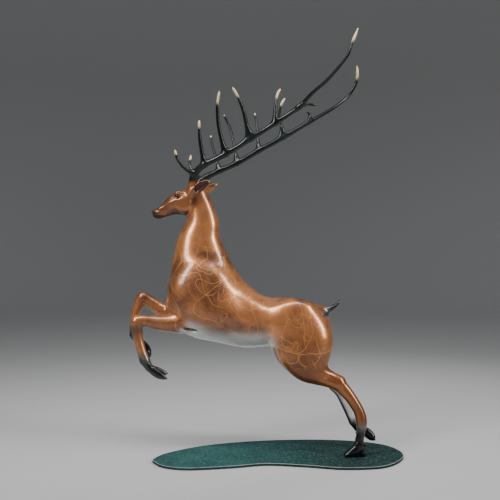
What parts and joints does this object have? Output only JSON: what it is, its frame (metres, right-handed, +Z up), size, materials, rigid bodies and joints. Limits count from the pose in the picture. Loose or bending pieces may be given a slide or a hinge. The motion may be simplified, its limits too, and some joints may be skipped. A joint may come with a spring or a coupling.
{
  "type": "leaping stag sculpture",
  "caption": "Leaping stag with long antlers in patinated cast brass, standing by one hind hoof on a thin kidney-shaped plate.",
  "frame": {"origin": "on the underside of the base plate, at the middle of its length and width", "axes": "+Z up, -X the way the stag faces, Y across the stag"},
  "size_m": [0.4115, 0.1882, 0.6199],
  "materials": {
    "patinated_brass": "glossy orange-brown patina with darker clouds, pale belly, grey lower legs and near-black antlers with ivory tips",
    "green_patina": "satin mottled green patina with a worn pale edge"
  },
  "bodies": {
    "root": {"stag": "patinated_brass", "base_plate": "green_patina"}
  },
  "joints": []
}
